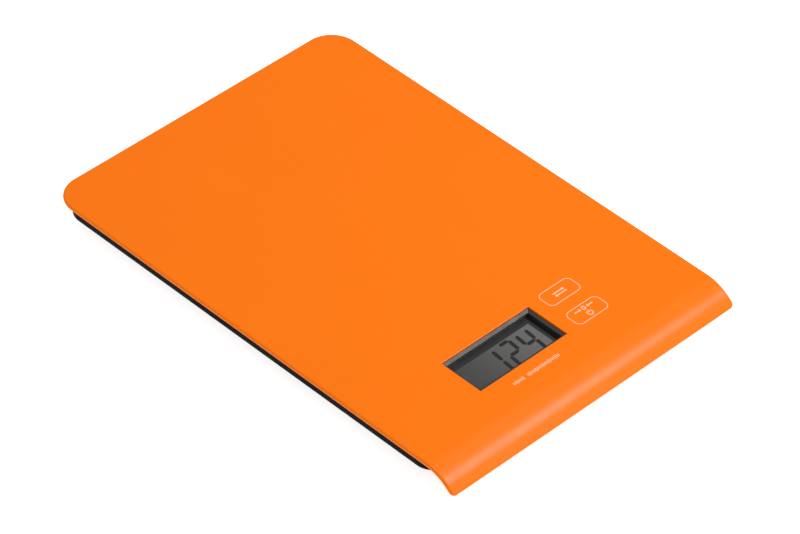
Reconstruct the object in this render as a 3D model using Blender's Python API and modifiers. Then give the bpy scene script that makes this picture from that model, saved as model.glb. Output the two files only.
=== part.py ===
"""Flat digital platform scale: a thin bent platform over a shallow tray that stands on four load-cell feet.

All sizes are in millimetres and become metres where a mesh is made. +X is right, -Y is the front with the
lip and the display, +Z is up, and the origin is on the ground under the middle of the platform.
"""
import math

import bmesh
import bpy
from mathutils import Matrix, Vector

MM = 0.001                  # metres in a millimetre

# ---- platform ----
WIDTH = 160.0
LENGTH = 230.0
HEIGHT = 14.0               # ground to platform top
PLATE = 2.0                 # platform thickness
EDGE_RADIUS = 0.95
BACK_CORNER = 13.0
FRONT_CORNER = 2.2
LIP_RADIUS = 20.5           # outer face
LIP_ANGLE = 38.6            # degrees that the lip turns down
LIP_RUN = 3.94              # straight stretch after the bend
LIP_STEPS = 11

# ---- base tray ----
BASE_HALF_WIDTH = 76.1
BASE_FRONT = -100.0
BASE_BACK = 111.0
BASE_BOTTOM = 3.3
BASE_WALL = 1.6
BASE_FLOOR = 1.5
BASE_CORNER = 8.5
BASE_EDGE = 2.0
SCREW_HOLE = 1.5
SCREW_SINK = 2.5
GAP = 0.3                   # between pieces that rest on each other
RIM_DEPTH = 2.8             # locating rim below the platform, inside the tray's wall
RIM_WALL = 1.2
RIB_HALF = 0.6
RIB_DEPTH = 2.4
PILOT_STOP = 0.8            # how far a boss's blind hole stops above the platform's underside

# ---- display ----
WINDOW_X = (-35.8, 12.8)
WINDOW_Y = (-86.0, -64.6)
BEZEL_TOP = 13.3            # a step below the platform
BEZEL_WALL = 1.3
BEZEL_FIT = 0.15            # gap round the bezel in the platform's opening
FLANGE = 1.2                # bezel flange beyond the opening
LCD_TOP = 10.7
LCD_THICKNESS = 1.6
HOLDER_WALL = 1.6

# ---- circuit board ----
PCB_X = (-37.0, 36.5)
PCB_Y = (-91.0, -59.3)
PCB_TOP = 7.4
PCB_THICKNESS = 1.0
PCB_SCREWS = [(x, y) for x in (-33.5, 33.5) for y in (-89.2, -61.3)]
KEY_X = 29.1
KEY_Y = {"rear": -67.0, "front": -82.0}
SOLDER_Y = -61.8            # row of pads where the leads end
LEAD_RADIUS = 0.7
LEAD_FLOOR = 5.9            # height of a lead's centre along the tray floor

# ---- feet and load cells ----
FOOT_X = 57.0
FOOT_Y = {"front": -80.0, "rear": 91.0}
FOOT_PAD_RADIUS = 9.0
FOOT_PAD_TOP = 2.2
CARRIER_RADIUS = 10.3
CARRIER_RIM = 1.7
CELL_PIN = 1.2              # radius of the pin that hangs the carrier in its load cell
CELL_SIZE = 30.0
CELL_BOTTOM = 6.6
CELL_THICKNESS = 1.2
CELL_RING = 4.0             # width of the fixed ring round the tongue
CELL_SLOT = 1.2
SEAT_WALL = 1.3
SEAT_TOP = 8.2

# ---- screws ----
CASE_SCREWS = [(x, y) for x in (-66.0, 66.0) for y in (-45.0, 45.0)] + [(0.0, 102.0), (0.0, -95.0)]
CASE_BOSS = 2.8
CASE_PILOT = 1.1
CASE_PAD = 3.0
CASE_PAD_TOP = 6.3
PCB_BOSS = 1.7
PCB_PILOT = 0.95

# ---- battery bay ----
BAY = (0.0, -25.0)
BAY_INNER = (11.2, 13.2)    # half sizes
BAY_OUTER = (14.0, 16.2)
BAY_CEILING = 9.7
BAY_TOP = 10.9
DOOR_HALF = (12.2, 14.4)
DOOR_THICKNESS = 1.3
DOOR_PIN = 0.5
PIN_REACH = 1.1             # how far the hinge pins stand out of the door
COIN_RADIUS = 10.0
COIN_BOTTOM = 5.5
COIN_THICKNESS = 3.2

FLOOR_TOP = BASE_BOTTOM + BASE_FLOOR
PLATE_BOTTOM = HEIGHT - PLATE
PCB_BOTTOM = PCB_TOP - PCB_THICKNESS
SINK = 0.5                  # how far a boss or rib runs into the wall it grows from
BELOW = 2.0                 # height at which cutters that come from underneath start
SIDES = {"left": -1.0, "right": 1.0}


# ---------------------------------------------------------------- helpers

def clear_scene():
    for obj in list(bpy.data.objects):
        bpy.data.objects.remove(obj, do_unlink=True)


def new_collection(name):
    collection = bpy.data.collections.new(name)
    bpy.context.scene.collection.children.link(collection)
    return collection


def srgb(red, green, blue):
    """Screen colour, 0 to 255, as the linear colour that a shader takes."""
    def linear(level):
        level /= 255.0
        return level / 12.92 if level <= 0.04045 else ((level + 0.055) / 1.055) ** 2.4
    return (linear(red), linear(green), linear(blue), 1.0)


def material(name, colour, roughness, metallic=0.0):
    mat = bpy.data.materials.new(name)
    mat.use_nodes = True
    shader = mat.node_tree.nodes["Principled BSDF"]
    shader.inputs["Base Color"].default_value = colour
    shader.inputs["Roughness"].default_value = roughness
    shader.inputs["Metallic"].default_value = metallic
    return mat


def finish_piece(obj, mat, smooth=True):
    """Puts a finished piece in the object's collection with its material."""
    for collection in list(obj.users_collection):
        collection.objects.unlink(obj)
    PIECES.objects.link(obj)
    obj.data.materials.clear()
    obj.data.materials.append(mat)
    if smooth and obj.type == "MESH":
        obj.data.shade_smooth()
        obj.data.set_sharp_from_angle(angle=math.radians(30))
    return obj


def tool(obj):
    """Turns a shape into a cutter or a lump that a Boolean modifier uses."""
    for collection in list(obj.users_collection):
        collection.objects.unlink(obj)
    TOOLS.objects.link(obj)
    obj.hide_render = True
    obj.display_type = "WIRE"
    return obj


def mesh_object(name, mesh_builder):
    mesh = bpy.data.meshes.new(name)
    obj = bpy.data.objects.new(name, mesh)
    TOOLS.objects.link(obj)
    bm = bmesh.new()
    mesh_builder(bm)
    bm.to_mesh(mesh)
    bm.free()
    return obj


def add_box(bm, low, high):
    """A box between two corners, given in millimetres; returns its corner points."""
    low, high = Vector(low) * MM, Vector(high) * MM
    made = bmesh.ops.create_cube(bm, size=1.0)["verts"]
    for vert in made:
        vert.co = Vector((low[i] + (vert.co[i] + 0.5) * (high[i] - low[i]) for i in range(3)))
    return made


def boxes(name, corners):
    """Several separate boxes in one mesh."""
    def build(bm):
        for low, high in corners:
            add_box(bm, low, high)
    return mesh_object(name, build)


def posts(name, centres, radius, bottom, top, sides=20):
    """Several separate upright cylinders in one mesh."""
    def build(bm):
        for x, y in centres:
            place = Matrix.Translation(Vector((x, y, (bottom + top) / 2)) * MM)
            bmesh.ops.create_cone(bm, cap_ends=True, segments=sides, radius1=radius * MM,
                                  radius2=radius * MM, depth=(top - bottom) * MM, matrix=place)
    return mesh_object(name, build)


def rounded_box(name, low, high, radii, steps=(7, 7), bottom_edge=0.0, top_edge=0.0):
    """A box with rounded upright edges; radii and steps are (front, back). Its rims may be rounded too."""
    def build(bm):
        add_box(bm, low, high)
        for radius, count, y in zip(radii, steps, (low[1], high[1])):
            upright = [edge for edge in bm.edges
                       if all(abs(vert.co.y - y * MM) < 1e-6 for vert in edge.verts)
                       and abs(edge.verts[0].co.z - edge.verts[1].co.z) > 1e-6]
            bmesh.ops.bevel(bm, geom=upright, offset=radius * MM, segments=count, profile=0.5,
                            affect="EDGES")
        for width, z in ((bottom_edge, low[2]), (top_edge, high[2])):
            rim = [edge for edge in bm.edges if all(abs(vert.co.z - z * MM) < 1e-6 for vert in edge.verts)]
            if width:
                bmesh.ops.bevel(bm, geom=rim, offset=width * MM, segments=3, profile=0.5,
                                affect="EDGES")
    return mesh_object(name, build)


def boolean(obj, other, operation):
    modifier = obj.modifiers.new(operation.title() + "_" + other.name, "BOOLEAN")
    modifier.operation = operation
    modifier.solver = "EXACT"
    modifier.object = tool(other)
    return obj


def flat_curve(name, outlines, thickness):
    """Closed outlines, filled and made thick along the curve's own Z. Inner ones are holes."""
    curve = bpy.data.curves.new(name, "CURVE")
    curve.dimensions = "2D"
    curve.fill_mode = "BOTH"
    curve.extrude = thickness / 2 * MM
    for outline in outlines:
        spline = curve.splines.new("POLY")
        spline.points.add(len(outline) - 1)
        spline.use_cyclic_u = True
        for point, (first, second) in zip(spline.points, outline):
            point.co = (first * MM, second * MM, 0.0, 1.0)
    obj = bpy.data.objects.new(name, curve)
    TOOLS.objects.link(obj)
    return obj


def curve_to_mesh(obj):
    """The same shape as a welded mesh object, which Boolean and Bevel modifiers can work on."""
    bpy.context.view_layer.update()
    evaluated = obj.evaluated_get(bpy.context.evaluated_depsgraph_get())
    mesh = bpy.data.meshes.new_from_object(evaluated)
    name = obj.name
    place = obj.matrix_world.copy()
    bpy.data.objects.remove(obj, do_unlink=True)
    bm = bmesh.new()
    bm.from_mesh(mesh)
    bmesh.ops.remove_doubles(bm, verts=bm.verts, dist=1e-6)
    bm.to_mesh(mesh)
    bm.free()
    solid = bpy.data.objects.new(name, mesh)
    solid.matrix_world = place
    TOOLS.objects.link(solid)
    return solid


def side_prism(name, outline, width, origin=(0.0, 0.0, 0.0)):
    """An outline in (Y, Z), made thick along X and centred on the origin's X."""
    obj = flat_curve(name, [outline], width)
    turn = Matrix(((0, 0, 1), (1, 0, 0), (0, 1, 0))).to_4x4()
    obj.matrix_world = Matrix.Translation(Vector(origin) * MM) @ turn
    return curve_to_mesh(obj)


def flat_plate(name, outlines, bottom, thickness, mat):
    obj = flat_curve(name, outlines, thickness)
    obj.location.z = (bottom + thickness / 2) * MM
    return finish_piece(obj, mat)


def circle(centre, radius, sides=12):
    return [(centre[0] + radius * math.cos(2 * math.pi * i / sides),
             centre[1] + radius * math.sin(2 * math.pi * i / sides)) for i in range(sides)]


def rectangle(xs, ys):
    return [(xs[0], ys[0]), (xs[1], ys[0]), (xs[1], ys[1]), (xs[0], ys[1])]


def turned(name, profile, centre, mat, steps=24):
    """A turned piece: the profile's (radius, height) points run from the top down its outer side."""
    mesh = bpy.data.meshes.new(name)
    points = [(radius * MM, 0.0, height * MM) for radius, height in profile]
    mesh.from_pydata(points, [(i, i + 1) for i in range(len(points) - 1)], [])
    obj = bpy.data.objects.new(name, mesh)
    TOOLS.objects.link(obj)
    screw = obj.modifiers.new("Turn", "SCREW")
    screw.steps = steps
    screw.render_steps = steps
    screw.use_merge_vertices = True
    screw.merge_threshold = 1e-5
    obj.location = Vector((centre[0], centre[1], 0.0)) * MM
    return finish_piece(obj, mat, smooth=False)


def smooth_route(points, step):
    """Points along a smooth curve through the route's own points, about one step apart."""
    points = [Vector(point) for point in points]
    padded = [2 * points[0] - points[1]] + points + [2 * points[-1] - points[-2]]
    route = []
    for i in range(1, len(padded) - 2):
        before, start, end, after = padded[i - 1:i + 3]
        count = max(1, round((end - start).length / step))
        for k in range(count):
            t = k / count
            route.append(0.5 * (2 * start + (end - before) * t
                                + (2 * before - 5 * start + 4 * end - after) * t ** 2
                                + (3 * start - before - 3 * end + after) * t ** 3))
    return route + [points[-1]]


def wire(name, points, radius, mat):
    """A round wire along points in millimetres."""
    curve = bpy.data.curves.new(name, "CURVE")
    curve.dimensions = "3D"
    curve.bevel_depth = radius * MM
    curve.bevel_resolution = 2
    curve.use_fill_caps = True
    spline = curve.splines.new("POLY")
    spline.points.add(len(points) - 1)
    for point, place in zip(spline.points, points):
        point.co = (*(Vector(place) * MM), 1.0)
    obj = bpy.data.objects.new(name, curve)
    TOOLS.objects.link(obj)
    return finish_piece(obj, mat)


def empty(name, place):
    obj = bpy.data.objects.new(name, None)
    obj.location = Vector(place) * MM
    PIECES.objects.link(obj)
    return obj


# ---------------------------------------------------------------- platform

def bend_start():
    """Y at which the flat platform begins to bend, so that the rounded tip ends at the front."""
    angle = math.radians(LIP_ANGLE)
    middle_radius = LIP_RADIUS - PLATE / 2
    rounded_tip = PLATE / 2 * (1 - math.cos(angle))
    return -LENGTH / 2 + middle_radius * math.sin(angle) + LIP_RUN * math.cos(angle) + rounded_tip


def bend_down(mesh):
    """Bends the flat plate's front stretch down round the lip radius, keeping its length and thickness."""
    angle = math.radians(LIP_ANGLE)
    middle = HEIGHT - PLATE / 2
    middle_radius = LIP_RADIUS - PLATE / 2
    start = bend_start()
    for vert in mesh.vertices:
        past = start - vert.co.y / MM
        if past <= 0:
            continue
        turn = min(past / middle_radius, angle)
        run = past - turn * middle_radius
        radius = middle_radius + vert.co.z / MM - middle
        vert.co.y = (start - radius * math.sin(turn) - run * math.cos(turn)) * MM
        vert.co.z = (middle - middle_radius + radius * math.cos(turn) - run * math.sin(turn)) * MM


def make_top_cover():
    arc_length = (LIP_RADIUS - PLATE / 2) * math.radians(LIP_ANGLE)
    start = bend_start()
    cover = rounded_box("top_cover", (-WIDTH / 2, start - arc_length - LIP_RUN, PLATE_BOTTOM),
                        (WIDTH / 2, LENGTH / 2, HEIGHT), (FRONT_CORNER, BACK_CORNER), (4, 9),
                        EDGE_RADIUS, EDGE_RADIUS)
    bm = bmesh.new()
    bm.from_mesh(cover.data)
    for step in range(LIP_STEPS + 1):
        line = (start - arc_length * step / LIP_STEPS) * MM
        everything = bm.verts[:] + bm.edges[:] + bm.faces[:]
        bmesh.ops.bisect_plane(bm, geom=everything, plane_co=(0.0, line, 0.0), plane_no=(0.0, 1.0, 0.0),
                               dist=1e-7)
    bm.to_mesh(cover.data)
    bm.free()
    bend_down(cover.data)

    boolean(cover, boxes("window_cutter", [((WINDOW_X[0], WINDOW_Y[0], PLATE_BOTTOM - 1),
                                            (WINDOW_X[1], WINDOW_Y[1], HEIGHT + 1))]), "DIFFERENCE")
    rim_low, rim_high = PLATE_BOTTOM - RIM_DEPTH, PLATE_BOTTOM + SINK
    clear = BASE_WALL + GAP

    def rim_box(name, inset, low, high):
        return rounded_box(name, (-BASE_HALF_WIDTH + inset, BASE_FRONT + inset, low),
                           (BASE_HALF_WIDTH - inset, BASE_BACK - inset, high),
                           (BASE_CORNER - inset, BASE_CORNER - inset), (4, 4))

    rim = rim_box("locating_rim", clear, rim_low, rim_high)
    boolean(rim, rim_box("locating_rim_hollow", clear + RIM_WALL, rim_low - 1, rim_high + 1), "DIFFERENCE")
    boolean(cover, rim, "UNION")

    rib_low, top = PLATE_BOTTOM - RIB_DEPTH, PLATE_BOTTOM + SINK
    long_ribs = [((x - RIB_HALF, front, rib_low), (x + RIB_HALF, 96.0, top))
                 for x, front in ((-30.0, -50.0), (0.0, -4.0), (30.0, -50.0))]
    boolean(cover, boxes("long_ribs", long_ribs), "UNION")
    cross_ribs = [((-62.0, y - RIB_HALF, rib_low), (62.0, y + RIB_HALF, top)) for y in (4.0, 34.0, 64.0)]
    boolean(cover, boxes("cross_ribs", cross_ribs), "UNION")
    pilot_top = PLATE_BOTTOM - PILOT_STOP
    boolean(cover, posts("case_bosses", CASE_SCREWS, CASE_BOSS, CASE_PAD_TOP + GAP, top, 16), "UNION")
    boolean(cover, posts("case_pilots", CASE_SCREWS, CASE_PILOT, CASE_PAD_TOP, pilot_top, 12), "DIFFERENCE")
    boolean(cover, posts("pcb_bosses", PCB_SCREWS, PCB_BOSS, PCB_TOP + GAP, top, 12), "UNION")
    boolean(cover, posts("pcb_pilots", PCB_SCREWS, PCB_PILOT, PCB_TOP, pilot_top, 10), "DIFFERENCE")
    finish_piece(cover, ORANGE)


# ---------------------------------------------------------------- base tray

def foot_centres():
    return [(side * FOOT_X, y) for side in SIDES.values() for y in FOOT_Y.values()]


def square_boxes(centres, half, bottom, top):
    return [((x - half, y - half, bottom), (x + half, y + half, top)) for x, y in centres]


def bay_box(half, bottom, top):
    return ((BAY[0] - half[0], BAY[1] - half[1], bottom), (BAY[0] + half[0], BAY[1] + half[1], top))


def door_axis():
    """Hinge line of the battery door: Y and Z of the pins' centre."""
    return BAY[1] + DOOR_HALF[1] - DOOR_THICKNESS / 2, BASE_BOTTOM + DOOR_THICKNESS / 2


def make_base_shell():
    wall_top = PLATE_BOTTOM - GAP
    base = rounded_box("base_shell", (-BASE_HALF_WIDTH, BASE_FRONT, BASE_BOTTOM),
                       (BASE_HALF_WIDTH, BASE_BACK, wall_top), (BASE_CORNER, BASE_CORNER),
                       bottom_edge=BASE_EDGE)
    inner = BASE_CORNER - BASE_WALL
    inner_half = BASE_HALF_WIDTH - BASE_WALL
    boolean(base, rounded_box("tray_hollow", (-inner_half, BASE_FRONT + BASE_WALL, FLOOR_TOP),
                              (inner_half, BASE_BACK - BASE_WALL, wall_top + 2), (inner, inner)),
            "DIFFERENCE")
    low = FLOOR_TOP - SINK
    feet = foot_centres()
    pocket = CELL_SIZE / 2 + GAP
    boolean(base, boxes("cell_seats", square_boxes(feet, pocket + SEAT_WALL, low, SEAT_TOP)), "UNION")
    pockets = square_boxes(feet, pocket, CELL_BOTTOM - GAP, SEAT_TOP + 1)
    boolean(base, boxes("cell_pockets", pockets), "DIFFERENCE")
    foot_hole = CARRIER_RADIUS + 0.5
    boolean(base, posts("foot_holes", feet, foot_hole, BELOW, CELL_BOTTOM, 24), "DIFFERENCE")

    boolean(base, posts("screw_pads", CASE_SCREWS, CASE_PAD, low, CASE_PAD_TOP, 16), "UNION")
    boolean(base, posts("screw_holes", CASE_SCREWS, SCREW_HOLE, BELOW, CASE_PAD_TOP + 1, 12), "DIFFERENCE")
    boolean(base, posts("screw_sinks", CASE_SCREWS, SCREW_SINK, BELOW, FLOOR_TOP + 0.1, 16), "DIFFERENCE")

    boolean(base, boxes("battery_bay", [bay_box(BAY_OUTER, low, BAY_TOP)]), "UNION")
    boolean(base, boxes("battery_hollow", [bay_box(BAY_INNER, BELOW, BAY_CEILING)]), "DIFFERENCE")
    recess = (DOOR_HALF[0] + GAP, DOOR_HALF[1] + GAP)
    boolean(base, boxes("door_recess", [bay_box(recess, BELOW, FLOOR_TOP + 0.1)]), "DIFFERENCE")
    axis_y, axis_z = door_axis()
    slot = DOOR_PIN + 0.25
    reach = DOOR_HALF[0] + PIN_REACH + GAP
    front = BAY[1] - recess[1]
    pin_slot = ((BAY[0] - reach, axis_y - slot, BELOW), (BAY[0] + reach, axis_y + slot, axis_z + slot))
    latch_slot = ((BAY[0] - 3.2, front - 1.1, BELOW), (BAY[0] + 3.2, front + 0.5, FLOOR_TOP - 0.1))
    boolean(base, boxes("door_slots", [pin_slot, latch_slot]), "DIFFERENCE")
    wall_y = BAY[1] - BAY_OUTER[1]
    minus_slot = ((-5.0, wall_y - 1, 8.75), (-1.0, wall_y + 4, 9.6))
    plus_slot = ((10.2, wall_y - 1, 5.2), (11.1, wall_y + 4, 8.9))
    boolean(base, boxes("contact_slots", [minus_slot, plus_slot]), "DIFFERENCE")
    finish_piece(base, BLACK)


# ---------------------------------------------------------------- display and board

def display_centre():
    return sum(WINDOW_X) / 2, sum(WINDOW_Y) / 2


def centred_box(half, bottom, top):
    x, y = display_centre()
    return (x - half[0], y - half[1], bottom), (x + half[0], y + half[1], top)


def window_half(margin):
    return ((WINDOW_X[1] - WINDOW_X[0]) / 2 + margin, (WINDOW_Y[1] - WINDOW_Y[0]) / 2 + margin)


def make_display():
    flange_top = PLATE_BOTTOM - GAP
    flange_bottom = LCD_TOP + 0.2
    bezel = boxes("display_bezel", [centred_box(window_half(-BEZEL_FIT), flange_bottom + 0.1, BEZEL_TOP)])
    flange = centred_box(window_half(FLANGE), flange_bottom, flange_top)
    boolean(bezel, boxes("bezel_flange", [flange]), "UNION")
    inner = window_half(-BEZEL_FIT - BEZEL_WALL)
    boolean(bezel, boxes("bezel_opening", [centred_box(inner, flange_bottom - 1, HEIGHT)]), "DIFFERENCE")
    finish_piece(bezel, BEZEL_GREY)

    lcd_bottom = LCD_TOP - LCD_THICKNESS
    glass = window_half(0.6)
    finish_piece(boxes("lcd_panel", [centred_box(glass, lcd_bottom, LCD_TOP)]), LCD_GREY)

    holder_bottom, holder_top = PCB_TOP + 0.2, lcd_bottom - 0.2
    holder = boxes("lcd_holder", [centred_box(glass, holder_bottom, holder_top)])
    inside = (glass[0] - HOLDER_WALL, glass[1] - HOLDER_WALL)
    opening = centred_box(inside, holder_bottom - 1, holder_top + 1)
    boolean(holder, boxes("holder_opening", [opening]), "DIFFERENCE")
    finish_piece(holder, WHITE_PLASTIC)

    x, y = display_centre()
    strip_y = y - glass[1] + 3.2
    finish_piece(boxes("zebra_strip", [((x - 21.0, strip_y - 1.0, PCB_TOP + 0.15),
                                        (x + 21.0, strip_y + 1.0, lcd_bottom - 0.15))]), RUBBER_GREY)


def make_board():
    holes = [circle(place, 1.25, 10) for place in PCB_SCREWS]
    flat_plate("main_pcb", [rectangle(PCB_X, PCB_Y)] + holes, PCB_BOTTOM, PCB_THICKNESS, PCB_GREEN)
    x, y = display_centre()
    blob_bottom = PCB_TOP + 0.15
    dome = [(4.5 * math.sin(math.radians(a)), blob_bottom + 1.1 * math.cos(math.radians(a)))
            for a in range(0, 91, 18)]
    turned("chip_blob", dome + [(0.0, blob_bottom)], (x, y + 1.5), EPOXY, 16)
    for number, place_y in enumerate((-74.5, -71.5), 1):
        low, high = (18.0, place_y - 0.6, PCB_TOP + 0.15), (20.0, place_y + 0.6, PCB_TOP + 0.95)
        finish_piece(boxes("capacitor_%d" % number, [(low, high)]), CERAMIC)


def make_touch_springs():
    turns, per_turn = 4, 10
    bottom, top = PCB_TOP + 0.45, PLATE_BOTTOM - 0.5
    for name, key_y in KEY_Y.items():
        points = []
        for i in range(turns * per_turn + 1):
            part = i / (turns * per_turn)
            angle = 2 * math.pi * i / per_turn
            radius = 3.4 - 0.6 * part
            points.append((KEY_X + radius * math.cos(angle), key_y + radius * math.sin(angle),
                           bottom + (top - bottom) * part))
        wire("touch_spring_" + name, points, 0.25, STEEL)


def screw_profile(head_bottom, head_height, head_radius, shank, tip):
    neck = head_bottom + head_height
    return [(0.0, tip), (shank * 0.5, tip - 0.5), (shank, tip - 1.3), (shank, neck), (head_radius, neck),
            (head_radius, head_bottom + 0.35), (head_radius * 0.75, head_bottom), (0.0, head_bottom)]


def make_screws():
    pcb_profile = screw_profile(PCB_BOTTOM - 1.25, 1.0, 1.8, 0.75, PLATE_BOTTOM - 1.2)
    case_profile = screw_profile(FLOOR_TOP - 1.3, 1.1, 2.2, 0.9, PLATE_BOTTOM - 1.5)
    for name, places, profile in (("pcb_screw", PCB_SCREWS, pcb_profile),
                                  ("case_screw", CASE_SCREWS, case_profile)):
        for number, place in enumerate(places, 1):
            turned("%s_%d" % (name, number), profile, place, STEEL, 12)


# ---------------------------------------------------------------- feet

def cell_outlines(side, centre):
    """Ring, U-shaped slot and pin hole of a load cell; the tongue's root is on the inner side."""
    half = CELL_SIZE / 2
    outer = half - CELL_RING
    inner = outer - CELL_SLOT
    root = -side * (half - 9.0)          # where the slot's two arms end
    far = side * outer
    near = side * inner
    slot = [(root, -outer), (far, -outer), (far, outer), (root, outer), (root, inner), (near, inner),
            (near, -inner), (root, -inner)]

    def shifted(points):
        return [(centre[0] + x, centre[1] + y) for x, y in points]

    return [shifted(rectangle((-half, half), (-half, half))), shifted(slot), circle(centre, 1.7, 12)]


def make_foot(name, side, centre):
    flat_plate("load_cell_" + name, cell_outlines(side, centre), CELL_BOTTOM, CELL_THICKNESS, CELL_STEEL)
    cell_top = CELL_BOTTOM + CELL_THICKNESS
    gauge_x = centre[0] - side * 8.0
    gauge = boxes("strain_gauge_" + name, [((gauge_x - 2.0, centre[1] - 3.0, cell_top + 0.1),
                                            (gauge_x + 2.0, centre[1] + 3.0, cell_top + 0.6))])
    finish_piece(gauge, GAUGE_RESIN)

    pivot = empty("foot_%s_axis" % name, (centre[0], centre[1], 0.0))
    disc_top = BASE_BOTTOM + 1.1
    recess = FOOT_PAD_TOP + GAP
    cup = FOOT_PAD_RADIUS + GAP
    carrier_profile = [(0.0, cell_top + 1.2), (1.3, cell_top + 1.2), (2.0, cell_top + 0.7),
                       (CELL_PIN, cell_top + 0.5), (CELL_PIN, CELL_BOTTOM - 0.5), (4.0, CELL_BOTTOM - 0.5),
                       (4.0, disc_top), (CARRIER_RADIUS, disc_top), (CARRIER_RADIUS, CARRIER_RIM),
                       (cup, CARRIER_RIM), (cup, recess), (0.0, recess)]
    carrier = turned("foot_carrier_" + name, carrier_profile, (0.0, 0.0), BLACK)
    pad_profile = [(0.0, FOOT_PAD_TOP), (FOOT_PAD_RADIUS, FOOT_PAD_TOP), (FOOT_PAD_RADIUS, 0.7),
                   (FOOT_PAD_RADIUS - 0.25, 0.2), (FOOT_PAD_RADIUS - 0.8, 0.0), (0.0, 0.0)]
    pad = turned("foot_pad_" + name, pad_profile, (0.0, 0.0), RUBBER_BLACK)
    for piece in (carrier, pad):
        piece.parent = pivot


def make_cell_lead(name, side, centre, lane_y, solder_x):
    """Three-core lead from a load cell's root, over its seat, along the tray floor and up to the board."""
    lane_x = side * 38.6
    over = SEAT_TOP + 1.1
    start_x = centre[0] - side * 11.6
    turn_y = centre[1] + (2.0 if centre[1] < 0 else -2.0)
    bend_y = lane_y - math.copysign(3.0, lane_y - centre[1])
    route = [(start_x, centre[1], CELL_BOTTOM + CELL_THICKNESS + 1.2), (side * 39.8, centre[1], over),
             (lane_x, turn_y, LEAD_FLOOR), (lane_x, bend_y, LEAD_FLOOR),
             (lane_x - side * 3.0, lane_y, LEAD_FLOOR), (solder_x + side * 2.0, lane_y, LEAD_FLOOR),
             (solder_x, PCB_Y[1] + 1.8, PCB_TOP + 0.9), (solder_x, SOLDER_Y, PCB_TOP + 1.1)]
    wire("load_cell_lead_" + name, smooth_route(route, 8.0), LEAD_RADIUS, LEAD_GREY)


def make_feet():
    lanes = {"front": (-55.6, 28.0), "rear": (-51.6, 21.0)}
    for end, foot_y in FOOT_Y.items():
        for side_name, side in SIDES.items():
            name = end + "_" + side_name
            centre = (side * FOOT_X, foot_y)
            lane_y, solder_x = lanes[end]
            make_foot(name, side, centre)
            make_cell_lead(name, side, centre, lane_y, side * solder_x)


# ---------------------------------------------------------------- battery bay

def make_battery_door():
    axis_y, axis_z = door_axis()
    half = DOOR_THICKNESS / 2
    front = BAY[1] - DOOR_HALF[1] - axis_y
    rear = [(half * math.cos(math.radians(turn)), half * math.sin(math.radians(turn)))
            for turn in range(-90, 91, 30)]
    door = side_prism("battery_door", [(front, half), (front, -half)] + rear, 2 * DOOR_HALF[0],
                      (BAY[0], axis_y, axis_z))

    def pin(bm):
        place = Matrix.Rotation(math.pi / 2, 4, "Y")
        bmesh.ops.create_cone(bm, cap_ends=True, segments=10, radius1=DOOR_PIN * MM, radius2=DOOR_PIN * MM,
                              depth=2 * (DOOR_HALF[0] + PIN_REACH) * MM, matrix=place)

    pins = mesh_object("door_pins", pin)
    pins.location = door.location
    boolean(door, pins, "UNION")
    nose = boxes("door_latch", [((-2.8, front - 0.8, -0.1), (2.8, front + 1.0, half - 0.1))])
    nose.location = door.location
    boolean(door, nose, "UNION")
    grip = boxes("door_grip", [((-4.0, front + y, -half - 1), (4.0, front + y + 0.8, -half + 0.4))
                               for y in (2.0, 3.8, 5.6)])
    grip.location = door.location
    boolean(door, grip, "DIFFERENCE")
    finish_piece(door, BLACK)


def make_battery():
    top = COIN_BOTTOM + COIN_THICKNESS
    coin_profile = [(0.0, top), (8.8, top), (8.9, top - 0.35), (9.7, top - 0.45), (COIN_RADIUS, top - 0.8),
                    (COIN_RADIUS, COIN_BOTTOM + 0.25), (COIN_RADIUS - 0.25, COIN_BOTTOM), (0.0, COIN_BOTTOM)]
    turned("coin_cell", coin_profile, BAY, CELL_STEEL, 24)
    tail = BAY[1] - BAY_OUTER[1] - 2.0
    leaf = [(tail, 9.1), (-33.0, 9.1), (-27.0, 8.85), (-23.0, 8.85), (-19.0, 9.1)]
    thickness = 0.3
    outline = leaf + [(y, z + thickness) for y, z in reversed(leaf)]
    finish_piece(side_prism("battery_contact_minus", outline, 3.0, (-3.0, 0.0, 0.0)), SPRING_METAL)
    finish_piece(boxes("battery_contact_plus", [((10.5, tail, 5.6), (10.8, -22.0, 8.5))]), SPRING_METAL)
    ends = {"minus": ((-3.0, 9.25), -6.0), "plus": ((10.65, 7.2), 6.0)}
    for name, ((start_x, start_z), solder_x) in ends.items():
        route = [(start_x, tail - 1.1, start_z), (start_x, tail - 4.5, start_z - 0.6),
                 (solder_x, PCB_Y[1] + 3.0, PCB_TOP + 1.0), (solder_x, SOLDER_Y, PCB_TOP + 1.1)]
        wire("battery_lead_" + name, smooth_route(route, 3.0), LEAD_RADIUS,
             LEAD_RED if name == "plus" else LEAD_BLACK)


# ---------------------------------------------------------------- model

clear_scene()
PIECES = new_collection("digital_platform_scale")
TOOLS = new_collection("cutters_and_lumps")

ORANGE = material("orange_plastic", srgb(254, 123, 28), 0.4)
BLACK = material("black_plastic", srgb(40, 34, 32), 0.55)
BEZEL_GREY = material("bezel_plastic", srgb(58, 52, 50), 0.45)
LCD_GREY = material("lcd_glass", srgb(99, 97, 96), 0.1)
WHITE_PLASTIC = material("white_plastic", srgb(225, 225, 220), 0.5)
RUBBER_GREY = material("zebra_rubber", srgb(110, 110, 115), 0.7)
RUBBER_BLACK = material("foot_rubber", srgb(30, 30, 31), 0.85)
PCB_GREEN = material("circuit_board", srgb(28, 92, 52), 0.4)
EPOXY = material("black_epoxy", srgb(18, 18, 18), 0.3)
CERAMIC = material("ceramic_capacitor", srgb(168, 132, 96), 0.5)
STEEL = material("screw_steel", srgb(190, 190, 192), 0.3, 1.0)
CELL_STEEL = material("plated_steel", srgb(205, 205, 208), 0.28, 1.0)
SPRING_METAL = material("spring_brass", srgb(212, 190, 140), 0.3, 1.0)
GAUGE_RESIN = material("gauge_resin", srgb(236, 232, 222), 0.6)
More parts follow.
